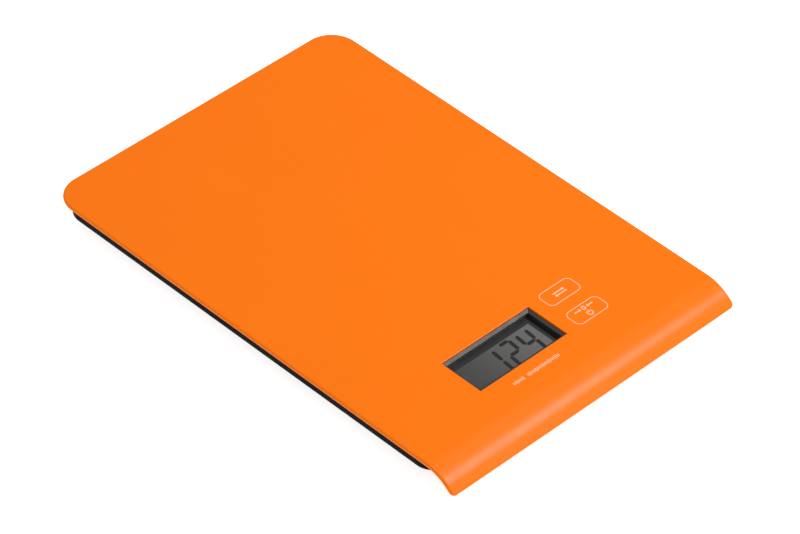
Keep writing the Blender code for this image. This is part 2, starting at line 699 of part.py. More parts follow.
LEAD_GREY = material("grey_lead", srgb(150, 150, 150), 0.5)
LEAD_RED = material("red_lead", srgb(190, 30, 28), 0.5)
LEAD_BLACK = material("black_lead", srgb(25, 25, 25), 0.5)

make_top_cover()
make_base_shell()
make_display()
make_board()
make_touch_springs()
make_screws()
make_feet()
make_battery_door()
make_battery()
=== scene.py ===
"""Looks of the flat digital platform scale: fine shells, display, printed marks, materials, light and camera.

Sizes are in millimetres unless a name ends in _M, and become metres where a mesh is made.
"""
import math

import bmesh
import bpy
from mathutils import Matrix, Quaternion, Vector


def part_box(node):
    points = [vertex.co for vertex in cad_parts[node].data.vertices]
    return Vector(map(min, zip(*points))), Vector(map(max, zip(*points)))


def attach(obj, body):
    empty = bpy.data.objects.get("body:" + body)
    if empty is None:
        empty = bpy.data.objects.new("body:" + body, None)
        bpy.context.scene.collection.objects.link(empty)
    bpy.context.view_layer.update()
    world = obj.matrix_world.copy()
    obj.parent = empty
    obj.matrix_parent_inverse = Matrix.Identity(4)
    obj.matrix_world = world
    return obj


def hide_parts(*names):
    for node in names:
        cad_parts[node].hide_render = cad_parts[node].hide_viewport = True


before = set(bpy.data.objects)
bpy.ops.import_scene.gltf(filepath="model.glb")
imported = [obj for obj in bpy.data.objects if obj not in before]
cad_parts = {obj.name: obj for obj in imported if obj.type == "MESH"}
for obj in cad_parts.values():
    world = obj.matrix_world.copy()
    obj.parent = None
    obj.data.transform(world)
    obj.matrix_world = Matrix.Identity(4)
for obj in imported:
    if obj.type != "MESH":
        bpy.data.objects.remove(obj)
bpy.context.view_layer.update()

MM = 0.001
WELD_M = 4e-7                   # corners nearer to each other than this are one corner
BODY = "scale_body"


def box_mm(node):
    """Lowest and highest corner of a CAD node, in millimetres."""
    low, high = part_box(node)
    return low / MM, high / MM


# ---- shapes taken from the frame ----
COVER_LOW, COVER_HIGH = box_mm("top_cover")
TRAY_LOW, TRAY_HIGH = box_mm("base_shell")
BEZEL_LOW, BEZEL_HIGH = box_mm("display_bezel")
LCD_LOW, LCD_HIGH = box_mm("lcd_panel")
PCB_TOP = box_mm("main_pcb")[1].z
FEET = ("front_left", "front_right", "rear_left", "rear_right")
TOP = COVER_HIGH.z
FLANGE = 1.2                    # bezel flange beyond the platform's opening
BEZEL_FIT = 0.15                # gap round the bezel in the platform's opening
BEZEL_WALL = 1.3
BEZEL_SLOPE_DROP = 0.75         # height of its sloped inner edge
GASKET_INSET = 0.3
GASKET_GAP = 0.03               # between the gasket and the glass
EDGE_SLOPE = math.radians(31)   # chamfers round the display
WINDOW_LOW = Vector((BEZEL_LOW.x + FLANGE, BEZEL_LOW.y + FLANGE, 0.0))
WINDOW_HIGH = Vector((BEZEL_HIGH.x - FLANGE, BEZEL_HIGH.y - FLANGE, 0.0))

# ---- platform ----
LENGTH = 230.0
PLATE = 2.0
EDGE_RADIUS = 0.97
BACK_CORNER = 13.0
FRONT_CORNER = 2.2
LIP_RADIUS = 20.5               # of the bend's upper face
LIP_ANGLE = math.radians(38.6)
LIP_RUN = 3.94                  # straight stretch after the bend
BEND_STEPS = 40
PLATE_BOTTOM = TOP - PLATE
GAP = 0.3                       # clearance between neighbouring pieces
WINDOW_EDGE_DROP = 0.12         # depth of the softened edge round the opening
RIM_DEPTH = 2.8                 # locating rim under the plate, just inside the tray's wall
RIM_WALL = 1.2
RIB_DEPTH = 2.4
RIB_HALF = 0.6
RIB_SIDE_X = 30.0
RIB_FRONT_Y = -50.0
RIB_MIDDLE_FRONT_Y = -4.0
RIB_BACK_Y = 96.0
RIB_CROSS_Y = (4.0, 34.0, 64.0)
RIB_CROSS_REACH = 62.0
CASE_BOSS, CASE_PILOT = 2.8, 1.1        # radii
PCB_BOSS, PCB_PILOT = 1.7, 0.95
PILOT_STOP = 0.8                # plate left over a pilot hole, measured from its lower face

# ---- tray ----
TRAY_WALL = 1.6
TRAY_FLOOR = 1.5
TRAY_CORNER = 8.5
TRAY_EDGE = 2.0
FLOOR_TOP = TRAY_LOW.z + TRAY_FLOOR
BELOW = 2.0                     # a height under the tray, where its cuts from below start
SINK = 0.5                      # how far a joined shape runs into the wall that it joins
CELL_POCKET = 15.3              # half the side of a load cell's square pocket
SEAT_WALL = 1.3                 # wall round the pocket
SEAT_TOP = 8.2
CELL_BOTTOM = 6.6
FOOT_HOLE = 10.8                # radius
FOOT_HOLE_EDGE = 0.35           # depth of its softened edge
CASE_SCREWS = [(x, y) for x in (-66.0, 66.0) for y in (-45.0, 45.0)] + [(0.0, 102.0), (0.0, -95.0)]
PCB_SCREWS = [(x, y) for x in (-33.5, 33.5) for y in (-89.2, -61.3)]
CASE_PAD = 3.0                  # radius of the pad that a case screw's head presses on
CASE_PAD_TOP = 6.3
SCREW_HOLE = 1.5
SCREW_SINK = 2.5
SCREW_SINK_MOUTH = 2.9
SCREW_SINK_EDGE = 0.2
BAY = (0.0, -25.0)              # middle of the battery bay
BAY_INNER = (11.2, 13.2)        # half its width and length
BAY_OUTER = (14.0, 16.2)
BAY_CEILING = 9.7
BAY_TOP = 10.9
CONTACT_SLOTS = (((-5.0, -1.0), (8.75, 9.6)), ((10.2, 11.1), (5.2, 8.9)))   # x and z of each slot
DOOR_HALF = (12.2, 14.4)        # half its width and length
DOOR_THICKNESS = 1.3
DOOR_CORNER = 0.6
DOOR_EDGE = 0.15
DOOR_PIN = 0.5                  # radius of its hinge pins
DOOR_PIN_REACH = 1.1
DOOR_PIN_CLEARANCE = 0.25
DOOR_SLOT_REACH = 1.4           # the slots run this far past the door's sides
LATCH_HALF = 2.8
LATCH_REACH = 0.8
LATCH_SLOT_HALF = 3.2
LATCH_SLOT_REACH = 1.1
GRIP_LINES = 5
GRIP_FIRST = 2.0                # from the door's front edge to its first grip groove
GRIP_PITCH = 1.3
GRIP_HALF_LENGTH = 4.4
GRIP_SHORTER = 0.5              # each groove is this much shorter at both ends than the last
GRIP_HALF = 0.35
DOOR_AXIS_Y = BAY[1] + DOOR_HALF[1] - DOOR_THICKNESS / 2
DOOR_AXIS_Z = TRAY_LOW.z + DOOR_THICKNESS / 2

# ---- camera: a long lens from the front left, about 41 degrees up ----
EYE_M = Vector((-0.98823, -0.94175, 1.20966))
AIM_M = Vector((-0.00792, -0.01365, 0.01414))
ROLL = math.radians(2.58)
SENSOR = 36.0
LENS = 203.57

# ---- floor and light ----
FLOOR_DROP = 0.05               # keeps the floor off the feet's rubber
FLOOR_HALF_M = 4.0
FLOOR_GLOW = (0.80, 0.55)       # (to the camera, to other surfaces)
ROOM_GLOW = (1.1, 0.475)


# ---------------------------------------------------------------- mesh helpers

def new_mesh(name, mesh_builder):
    mesh = bpy.data.meshes.new(name)
    bm = bmesh.new()
    mesh_builder(bm)
    bm.to_mesh(mesh)
    bm.free()
    obj = bpy.data.objects.new(name, mesh)
    bpy.context.scene.collection.objects.link(obj)
    return obj


def add_box(bm, low, high, top_grow=0.0):
    """A box between two corners; its top may be larger all round, which makes a chamfer cutter."""
    low, high = Vector(low) * MM, Vector(high) * MM
    middle = (low + high) / 2
    for vert in bmesh.ops.create_cube(bm, size=1.0)["verts"]:
        top = vert.co.z > 0
        vert.co = Vector((low[i] + (vert.co[i] + 0.5) * (high[i] - low[i]) for i in range(3)))
        if top:
            vert.co.x += math.copysign(top_grow * MM, vert.co.x - middle.x)
            vert.co.y += math.copysign(top_grow * MM, vert.co.y - middle.y)


def boxes(name, corners, top_grow=0.0):
    def build(bm):
        for low, high in corners:
            add_box(bm, low, high, top_grow)
    return new_mesh(name, build)


def posts(name, centres, radius, bottom, top, sides=48, top_radius=None):
    """Separate upright cylinders or cones in one mesh."""
    def build(bm):
        for x, y in centres:
            place = Matrix.Translation(Vector((x, y, (bottom + top) / 2)) * MM)
            bmesh.ops.create_cone(bm, cap_ends=True, segments=sides, radius1=radius * MM,
                                  radius2=(radius if top_radius is None else top_radius) * MM,
                                  depth=(top - bottom) * MM, matrix=place)
    return new_mesh(name, build)


def rounded_box(name, low, high, radii, steps=(12, 12), bottom_edge=0.0, top_edge=0.0, edge_steps=6):
    """A box with rounded upright edges, (front, back), and rims that may be rounded too."""
    def build(bm):
        add_box(bm, low, high)
        for radius, count, y in zip(radii, steps, (low[1], high[1])):
            upright = [edge for edge in bm.edges
                       if all(abs(vert.co.y - y * MM) < 1e-6 for vert in edge.verts)
                       and abs(edge.verts[0].co.z - edge.verts[1].co.z) > 1e-6]
            if radius:
                bmesh.ops.bevel(bm, geom=upright, offset=radius * MM, segments=count, profile=0.5,
                                affect="EDGES")
        for width, z in ((bottom_edge, low[2]), (top_edge, high[2])):
            rim = [edge for edge in bm.edges if all(abs(vert.co.z - z * MM) < 1e-6 for vert in edge.verts)]
            if width:
                bmesh.ops.bevel(bm, geom=rim, offset=width * MM, segments=edge_steps, profile=0.5,
                                affect="EDGES")
    return new_mesh(name, build)


def apply_modifiers(obj):
    """Bakes the object's modifiers and its place into its own mesh."""
    bpy.context.view_layer.update()
    evaluated = obj.evaluated_get(bpy.context.evaluated_depsgraph_get())
    mesh = bpy.data.meshes.new_from_object(evaluated)
    obj.modifiers.clear()
    obj.data = mesh
    mesh.transform(obj.matrix_world)
    obj.matrix_world = Matrix.Identity(4)
    return obj


def cut(obj, other, operation="DIFFERENCE"):
    """Applies one boolean and removes the other shape."""
    modifier = obj.modifiers.new("cut", "BOOLEAN")
    modifier.operation = operation
    modifier.solver = "EXACT"
    modifier.object = other
    apply_modifiers(obj)
    bpy.data.objects.remove(other, do_unlink=True)
    bm = bmesh.new()
    bm.from_mesh(obj.data)
    bmesh.ops.remove_doubles(bm, verts=bm.verts, dist=WELD_M)
    bmesh.ops.dissolve_degenerate(bm, edges=bm.edges, dist=WELD_M)
    bm.to_mesh(obj.data)
    bm.free()
    return obj


def join(obj, other):
    return cut(obj, other, "UNION")


def outline_plate(name, outlines, bottom, top):
    """Filled closed outlines in (X, Y), made thick between two heights; inner outlines are holes."""
    curve = bpy.data.curves.new(name, "CURVE")
    curve.dimensions = "2D"
    curve.fill_mode = "BOTH"
    curve.extrude = (top - bottom) / 2 * MM
    for outline in outlines:
        spline = curve.splines.new("POLY")
        spline.points.add(len(outline) - 1)
        spline.use_cyclic_u = True
        for point, (x, y) in zip(spline.points, outline):
            point.co = (x * MM, y * MM, 0.0, 1.0)
    source = bpy.data.objects.new(name + "_outline", curve)
    bpy.context.scene.collection.objects.link(source)
    source.location.z = (bottom + top) / 2 * MM
    bpy.context.view_layer.update()
    evaluated = source.evaluated_get(bpy.context.evaluated_depsgraph_get())
    mesh = bpy.data.meshes.new_from_object(evaluated)
    mesh.transform(source.matrix_world)
    bpy.data.objects.remove(source, do_unlink=True)
    bm = bmesh.new()
    bm.from_mesh(mesh)
    bmesh.ops.remove_doubles(bm, verts=bm.verts, dist=1e-7)
    bm.to_mesh(mesh)
    bm.free()
    obj = bpy.data.objects.new(name, mesh)
    bpy.context.scene.collection.objects.link(obj)
    return obj


def turned(name, profile, centre, steps=72):
    """A turned piece; (radius, height) points run from the top down its outer side."""
    def build(bm):
        verts = [bm.verts.new((radius * MM, 0.0, height * MM)) for radius, height in profile]
        edges = [bm.edges.new(pair) for pair in zip(verts, verts[1:])]
        bmesh.ops.spin(bm, geom=verts + edges, cent=(0, 0, 0), axis=(0, 0, 1), angle=2 * math.pi, steps=steps,
                       use_merge=True)
        bmesh.ops.remove_doubles(bm, verts=bm.verts, dist=1e-7)
        bmesh.ops.recalc_face_normals(bm, faces=bm.faces)
    obj = new_mesh(name, build)
    obj.location = Vector((centre[0], centre[1], 0.0)) * MM
    return apply_modifiers(obj)


def finished(obj, mat, body, slot, *nodes, angle=35):
    """Shades a piece, gives it its material, and ties it to the frame."""
    obj.data.shade_smooth()
    obj.data.set_sharp_from_angle(angle=math.radians(angle))
    obj.data.materials.clear()
    obj.data.materials.append(mat)
    weighted = obj.modifiers.new("weighted_normals", "WEIGHTED_NORMAL")
    weighted.keep_sharp = True
    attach(obj, body)
    if nodes:
        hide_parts(*nodes)
    return obj


# ---------------------------------------------------------------- material helpers

def srgb(red, green, blue):
    def linear(level):
        level /= 255.0
        return level / 12.92 if level <= 0.04045 else ((level + 0.055) / 1.055) ** 2.4
    return (linear(red), linear(green), linear(blue), 1.0)


class Nodes:
    """Short calls for building one material's node tree."""

    def __init__(self, name):
        self.material = bpy.data.materials.new(name)
        self.material.use_nodes = True
        self.tree = self.material.node_tree
        self.shader = self.tree.nodes["Principled BSDF"]
        self.place = self.add("ShaderNodeTexCoord").outputs["Object"]

    def add(self, kind, **settings):
        node = self.tree.nodes.new(kind)
        for key, value in settings.items():
            setattr(node, key, value)
        return node

    def link(self, source, target):
        self.tree.links.new(source, target)

    def set(self, **values):
        for key, value in values.items():
            self.shader.inputs[key.replace("_", " ")].default_value = value

    def noise(self, size, detail=3.0, roughness=0.55, stretch=(1.0, 1.0, 1.0)):
        """Noise whose features are about `size` millimetres wide; returns its factor."""
        mapping = self.add("ShaderNodeMapping")
        mapping.inputs["Scale"].default_value = stretch
        self.link(self.place, mapping.inputs["Vector"])
        node = self.add("ShaderNodeTexNoise")
        node.inputs["Scale"].default_value = 1.0 / (size * MM)
        node.inputs["Detail"].default_value = detail
        node.inputs["Roughness"].default_value = roughness
        self.link(mapping.outputs["Vector"], node.inputs["Vector"])
        return node.outputs["Fac"]

    def spread(self, factor, low, high):
        """Maps the middle of a noise onto low..high."""
        node = self.add("ShaderNodeMapRange")
        node.inputs["From Min"].default_value = 0.3
        node.inputs["From Max"].default_value = 0.7
        node.inputs["To Min"].default_value = low
        node.inputs["To Max"].default_value = high
        self.link(factor, node.inputs["Value"])
        return node.outputs["Result"]

    def blend(self, factor, first, second):
        """Colour between two colours or links."""
        node = self.add("ShaderNodeMix", data_type="RGBA")
        self.link(factor, node.inputs[0])
        for index, value in ((6, first), (7, second)):
            if isinstance(value, tuple):
                node.inputs[index].default_value = value
            else:
                self.link(value, node.inputs[index])
        return node.outputs[2]

    def math(self, operation, first, second=0.0, clamp=False):
        node = self.add("ShaderNodeMath", operation=operation, use_clamp=clamp)
        for socket, value in zip(node.inputs, (first, second)):
            if isinstance(value, (int, float)):
                socket.default_value = value
            else:
                self.link(value, socket)
        return node.outputs[0]

    def bump(self, height, depth, strength=1.0):
        """Surface relief; depth in millimetres."""
        node = self.add("ShaderNodeBump")
        node.inputs["Strength"].default_value = strength
        node.inputs["Distance"].default_value = depth * MM
        self.link(height, node.inputs["Height"])
        self.link(node.outputs["Normal"], self.shader.inputs["Normal"])

    def colour(self, source):
        self.link(source, self.shader.inputs["Base Color"])

    def roughness(self, source):
        self.link(source, self.shader.inputs["Roughness"])

    def axes(self):
        node = self.add("ShaderNodeSeparateXYZ")
        self.link(self.place, node.inputs[0])
        return node.outputs


def moulded_plastic(name, dark, light, rough, grain, depth, specular=0.5):
    """Moulded plastic: faint cloudy colour, spark-eroded grain and uneven gloss."""
    nodes = Nodes(name)
    nodes.set(Specular_IOR_Level=specular)
    nodes.colour(nodes.blend(nodes.noise(28.0, 4.0), dark, light))
    nodes.roughness(nodes.spread(nodes.noise(6.0), *rough))
    nodes.bump(nodes.noise(grain, 2.0), depth)
    return nodes.material


def metal(name, dark, light, rough, stretch=(1.0, 1.0, 1.0), size=0.4):
    nodes = Nodes(name)
    nodes.set(Metallic=1.0)
    grain = nodes.noise(size, 3.0, stretch=stretch)
    nodes.colour(nodes.blend(grain, dark, light))
    nodes.roughness(nodes.spread(grain, *rough))
    nodes.bump(grain, 0.004)
    return nodes.material


def rubber(name, dark, light):
    nodes = Nodes(name)
    nodes.colour(nodes.blend(nodes.noise(2.5, 5.0), dark, light))
    nodes.set(Specular_IOR_Level=0.3)
    nodes.roughness(nodes.spread(nodes.noise(1.2), 0.72, 0.92))
    nodes.bump(nodes.noise(0.35, 3.0), 0.02)
    return nodes.material


def lcd_material():
    """Passive grey LCD: a cloudy reflector behind a glossy polariser, lightened towards +X by a painted
    reflection, with a black printed border that is widened at the rear and right into painted shade of the
    recess walls.
    """
    nodes = Nodes("lcd_polariser")
    nodes.set(Specular_IOR_Level=0.5, IOR=1.5, Roughness=0.12, Coat_Weight=0.15, Coat_Roughness=0.03)
    x, y, _ = nodes.axes()
    # painted reflection: the field's colour brightens towards +X, standing in for a softbox reflection on the
    # glass
    painted_reflection_ramp = nodes.add("ShaderNodeMapRange", interpolation_type="SMOOTHSTEP")
    painted_reflection_ramp.inputs["From Min"].default_value = LCD_LOW.x * MM
    painted_reflection_ramp.inputs["From Max"].default_value = LCD_HIGH.x * MM
    nodes.link(x, painted_reflection_ramp.inputs["Value"])
    plain = nodes.blend(nodes.noise(5.0, 2.0), srgb(50, 50, 50), srgb(64, 64, 63))
    field = nodes.blend(painted_reflection_ramp.outputs["Result"], plain, srgb(97, 96, 94))
    # painted shade: the border is shifted so that it is wider at the rear and right, where it stands in for
    # the shade of the recess walls; at the front and left it is the printed border
    border, painted_shade_shift, blur = 4.2, 0.8, 0.25    # the field sits a little front-left of the glass's middle
    middle = (LCD_LOW + LCD_HIGH) / 2 - Vector((painted_shade_shift, painted_shade_shift, 0.0))
    edges = []
    reach = (LCD_HIGH - LCD_LOW) / 2
    for axis, centre, half in ((x, middle.x, reach.x), (y, middle.y, reach.y)):
        away = nodes.math("ABSOLUTE", nodes.math("SUBTRACT", axis, centre * MM))
        edge = nodes.add("ShaderNodeMapRange")
        edge.inputs["From Min"].default_value = (half - border - blur) * MM
        edge.inputs["From Max"].default_value = (half - border) * MM
        nodes.link(away, edge.inputs["Value"])
        edges.append(edge.outputs["Result"])
    nodes.colour(nodes.blend(nodes.math("MAXIMUM", *edges), field, srgb(24, 24, 24)))
    nodes.bump(nodes.noise(0.6, 2.0), 0.001)
    return nodes.material


def segment_material():
    nodes = Nodes("lcd_segment_black")
    nodes.set(Specular_IOR_Level=0.4, Coat_Weight=0.2, Coat_Roughness=0.05)
    nodes.colour(nodes.blend(nodes.noise(1.5), srgb(10, 10, 11), srgb(18, 18, 19)))
    nodes.roughness(nodes.spread(nodes.noise(0.8), 0.2, 0.3))
    return nodes.material


def ink_material():
    """Pad-printed pale ink, a little thin where the pad lifted."""
    nodes = Nodes("pad_printed_ink")
    nodes.set(Specular_IOR_Level=0.3)
    nodes.colour(nodes.blend(nodes.noise(0.5, 4.0), srgb(232, 182, 148), srgb(244, 208, 180)))
    nodes.roughness(nodes.spread(nodes.noise(0.3), 0.45, 0.6))
    nodes.bump(nodes.noise(0.2), 0.003)
    return nodes.material


def board_material():
    """Green solder mask over copper tracks, which run along both axes."""
    nodes = Nodes("solder_mask_green")
    brick = nodes.add("ShaderNodeTexBrick", offset=0.37, squash=1.6)
    brick.inputs["Scale"].default_value = 260.0
    brick.inputs["Mortar Size"].default_value = 0.035
    brick.inputs["Color1"].default_value = srgb(24, 88, 48)
    brick.inputs["Color2"].default_value = srgb(30, 98, 55)
    brick.inputs["Mortar"].default_value = srgb(52, 128, 74)
    nodes.link(nodes.place, brick.inputs["Vector"])
    nodes.colour(brick.outputs["Color"])
    nodes.set(Coat_Weight=0.3, Coat_Roughness=0.2)
    nodes.roughness(nodes.spread(nodes.noise(1.0), 0.32, 0.45))
    nodes.bump(brick.outputs["Fac"], 0.03)
    return nodes.material


# colours are linear or made by srgb; then the roughness range, and the grain's size and depth in millimetres
ORANGE = moulded_plastic("satin_orange", (0.875, 0.165, 0.0004, 1.0), (0.895, 0.173, 0.0010, 1.0),
                         (0.26, 0.30), 0.3, 0.003, specular=0.125)
BLACK = moulded_plastic("matte_black", srgb(17, 11, 11), srgb(22, 15, 14), (0.5, 0.62), 0.45, 0.02,
                        specular=0.06)
BEZEL = moulded_plastic("satin_bezel", srgb(44, 41, 38), srgb(54, 50, 47), (0.42, 0.50), 0.3, 0.003)
WHITE = moulded_plastic("moulded_white", srgb(218, 218, 212), srgb(230, 230, 225), (0.42, 0.55), 0.4, 0.01)
EPOXY = moulded_plastic("potting_epoxy", srgb(14, 14, 14), srgb(24, 23, 23), (0.2, 0.35), 1.2, 0.03)
CERAMIC = moulded_plastic("capacitor_ceramic", srgb(150, 116, 82), srgb(176, 140, 102), (0.5, 0.65), 0.2,
                          0.01)
RESIN = moulded_plastic("gauge_resin_white", srgb(226, 222, 210), srgb(242, 238, 228), (0.5, 0.7), 0.6, 0.04)
GREY_LEAD = moulded_plastic("lead_grey", srgb(140, 140, 140), srgb(160, 160, 158), (0.45, 0.55), 0.5, 0.01)
RED_LEAD = moulded_plastic("lead_red", srgb(178, 26, 24), srgb(200, 34, 30), (0.45, 0.55), 0.5, 0.01)
BLACK_LEAD = moulded_plastic("lead_black", srgb(20, 20, 20), srgb(30, 30, 30), (0.45, 0.55), 0.5, 0.01)
FOOT_RUBBER = rubber("foot_rubber_black", srgb(24, 24, 25), srgb(38, 38, 39))
ZEBRA = rubber("zebra_rubber_grey", srgb(92, 92, 97), srgb(122, 122, 126))
SCREW_STEEL = metal("zinc_screw", srgb(168, 168, 172), srgb(205, 205, 208), (0.24, 0.4))
CELL_STEEL = metal("nickel_plate", srgb(190, 190, 194), srgb(220, 220, 222), (0.22, 0.34),
                   (1.0, 14.0, 1.0), 2.0)
SPRING = metal("contact_spring", srgb(196, 176, 128), srgb(222, 204, 156), (0.24, 0.36),
               (12.0, 1.0, 1.0), 2.0)
LCD = lcd_material()
SEGMENT = segment_material()
INK = ink_material()
BOARD = board_material()


# ---------------------------------------------------------------- platform

def bend_start():
    """Y at which the flat platform begins to bend down."""
    middle_radius = LIP_RADIUS - PLATE / 2
    rounded_tip = PLATE / 2 * (1 - math.cos(LIP_ANGLE))
    return -LENGTH / 2 + middle_radius * math.sin(LIP_ANGLE) + LIP_RUN * math.cos(LIP_ANGLE) + rounded_tip


def bend_down(mesh):
    """Bends the flat plate's front stretch down round the lip radius."""
    middle = TOP - PLATE / 2
    middle_radius = LIP_RADIUS - PLATE / 2
    start = bend_start()
    for vert in mesh.vertices:
        past = start - vert.co.y / MM
        if past <= 0:
            continue
        turn = min(past / middle_radius, LIP_ANGLE)
        run = past - turn * middle_radius
        radius = middle_radius + vert.co.z / MM - middle
        vert.co.y = (start - radius * math.sin(turn) - run * math.cos(turn)) * MM
        vert.co.z = (middle - middle_radius + radius * math.cos(turn) - run * math.sin(turn)) * MM


def bent_plate():
    """The plate is made flat, cut into strips along the bend, and then bent."""
    arc_length = (LIP_RADIUS - PLATE / 2) * LIP_ANGLE
    start = bend_start()
    plate = rounded_box("platform_cover", (COVER_LOW.x, start - arc_length - LIP_RUN, PLATE_BOTTOM),
                        (COVER_HIGH.x, COVER_HIGH.y, TOP), (FRONT_CORNER, BACK_CORNER), (10, 32),
                        EDGE_RADIUS, EDGE_RADIUS, 7)
    bm = bmesh.new()
    bm.from_mesh(plate.data)
    for step in range(BEND_STEPS + 1):
        line = start - arc_length * step / BEND_STEPS
        bmesh.ops.bisect_plane(bm, geom=bm.verts[:] + bm.edges[:] + bm.faces[:],
                               plane_co=(0.0, line * MM, 0.0), plane_no=(0.0, 1.0, 0.0), dist=1e-7)
    bm.to_mesh(plate.data)
    bm.free()
    bend_down(plate.data)
    return plate


def make_platform():
    """The bent plate with its opening, and the locating rim, ribs and screw bosses under it."""
    cover = bent_plate()
    low, high = WINDOW_LOW, WINDOW_HIGH
    cut(cover, boxes("window", [((low.x, low.y, PLATE_BOTTOM - 1), (high.x, high.y, TOP + 1))]))
    drop = WINDOW_EDGE_DROP
    cut(cover, boxes("window_soft_edge", [((low.x, low.y, TOP - drop), (high.x, high.y, TOP + drop))],
                     2 * drop / math.tan(EDGE_SLOPE)))
    clear = TRAY_WALL + GAP
    rim_low, rib_top = PLATE_BOTTOM - RIM_DEPTH, PLATE_BOTTOM + SINK

    def rim_box(name, inset, bottom, top):
        corner = TRAY_CORNER - inset
        return rounded_box(name, (TRAY_LOW.x + inset, TRAY_LOW.y + inset, bottom),
                           (TRAY_HIGH.x - inset, TRAY_HIGH.y - inset, top), (corner, corner))

    rim = rim_box("locating_rim", clear, rim_low, rib_top)
    cut(rim, rim_box("locating_rim_hollow", clear + RIM_WALL, rim_low - 1, rib_top + 1))
    join(cover, rim)
    rib, rib_low = RIB_HALF, PLATE_BOTTOM - RIB_DEPTH
    fronts = ((-RIB_SIDE_X, RIB_FRONT_Y), (RIB_SIDE_X, RIB_FRONT_Y), (0.0, RIB_MIDDLE_FRONT_Y))
    join(cover, boxes("long_ribs", [((x - rib, front, rib_low), (x + rib, RIB_BACK_Y, rib_top))
                                    for x, front in fronts]))
    reach = RIB_CROSS_REACH
    join(cover, boxes("cross_ribs", [((-reach, y - rib, rib_low), (reach, y + rib, rib_top))
                                     for y in RIB_CROSS_Y]))
    for centres, boss, pilot, bottom in ((CASE_SCREWS, CASE_BOSS, CASE_PILOT, CASE_PAD_TOP + GAP),
                                         (PCB_SCREWS, PCB_BOSS, PCB_PILOT, PCB_TOP + GAP)):
        join(cover, posts("bosses", centres, boss, bottom, rib_top, 32))
        cut(cover, posts("pilots", centres, pilot, bottom - 1, PLATE_BOTTOM - PILOT_STOP, 24))
    finished(cover, ORANGE, BODY, "orange_plastic", "top_cover", angle=25)


# ---------------------------------------------------------------- printed marks

def rounded_outline(low, high, radius, steps=8):
    points = []
    corners = ((high[0] - radius, high[1] - radius, 0), (low[0] + radius, high[1] - radius, 90),
               (low[0] + radius, low[1] + radius, 180), (high[0] - radius, low[1] + radius, 270))
    for x, y, start in corners:
        for i in range(steps + 1):
            angle = math.radians(start + 90 * i / steps)
            points.append((x + radius * math.cos(angle), y + radius * math.sin(angle)))
    return points


def centred_outline(centre, size, radius, steps=8):
    half = (size[0] / 2, size[1] / 2)
    return rounded_outline((centre[0] - half[0], centre[1] - half[1]),
                           (centre[0] + half[0], centre[1] + half[1]), radius, steps)


def ring(centre, size, radius, stroke):
    """Outer and inner outline of a rounded frame."""
    return [centred_outline(centre, size, radius),
            centred_outline(centre, (size[0] - 2 * stroke, size[1] - 2 * stroke), radius - stroke)]


def arrow(centre, length, height, way):
    """A plain arrow; way is 1 for pointing right and -1 for left."""
    shaft, head = height * 0.16, height * 0.62
    x, y = centre
    tip, tail = x + way * length / 2, x - way * length / 2
    neck = tip - way * head
    return [[(tail, y - shaft), (neck, y - shaft), (neck, y - height / 2), (tip, y), (neck, y + height / 2),
             (neck, y + shaft), (tail, y + shaft)][::int(way)]]


def arc_band(centre, radius, stroke, start, end, steps=28):
    """Part of a ring between two angles in degrees."""
    def side(r):
        return [(centre[0] + r * math.cos(math.radians(start + (end - start) * i / steps)),
                 centre[1] + r * math.sin(math.radians(start + (end - start) * i / steps)))
                for i in range(steps + 1)]
    return [side(radius) + side(radius - stroke)[::-1]]


def power_mark(centre, size, stroke):
    x, y = centre
    return (arc_band(centre, size / 2, stroke, 120, 420)
            + [centred_outline((x, y + size * 0.27), (stroke, size * 0.5), stroke / 2.2, 4)])


KEY_SIZE = (17.9, 8.9)
KEY_REAR = (28.3, -67.1)
KEY_FRONT = (28.45, -82.05)
KEY_STROKE = 0.32
KEY_RADIUS = 2.7
KEY_ARROW = 1.7                 # height of the arrows on the keys
INK_HEIGHT = 0.03
INK_LIFT = 0.008                # keeps the ink's lower face off the platform
ROW_Y = -92.15                  # graduation ticks in front of the display
ROW_LEFT = -23.6
ROW_PITCH = 0.89
ROW_STEPS = 29
ROW_SPACE = (7, 8)              # steps left out
TICK_WIDTH = 0.4
TICK_LONG, TICK_SHORT = 2.1, 1.5


def print_marks(name, outlines):
    piece = outline_plate(name, outlines, TOP + INK_LIFT, TOP + INK_LIFT + INK_HEIGHT)
    finished(piece, INK, BODY, "white_plastic")


def make_marks():
    """Key outlines with plain pictograms, and a row of fine graduation ticks in front of the display."""
    x, y = KEY_REAR
    print_marks("rear_key_print", ring(KEY_REAR, KEY_SIZE, KEY_RADIUS, KEY_STROKE)
                + arrow((x, y + 0.8), 6.4, KEY_ARROW, 1) + arrow((x, y - 0.8), 6.4, KEY_ARROW, -1))
    x, y = KEY_FRONT
    zero = ring((x, y + 2.0), (1.7, 2.3), 0.8, 0.42)
    print_marks("front_key_print", ring(KEY_FRONT, KEY_SIZE, KEY_RADIUS, KEY_STROKE) + zero
                + arrow((x - 3.3, y + 2.0), 3.6, KEY_ARROW, 1) + arrow((x + 3.3, y + 2.0), 3.6, KEY_ARROW, -1)
                + power_mark((x, y - 1.6), 3.0, 0.45))
    outlines = []
    for step in range(ROW_STEPS):
        if step not in ROW_SPACE:
            tall = TICK_LONG if step % 4 == 2 else TICK_SHORT
            centre = (ROW_LEFT + ROW_PITCH * step, ROW_Y)
            outlines.append(centred_outline(centre, (TICK_WIDTH, tall), 0.15, 3))
    print_marks("row_print", outlines)


# ---------------------------------------------------------------- display

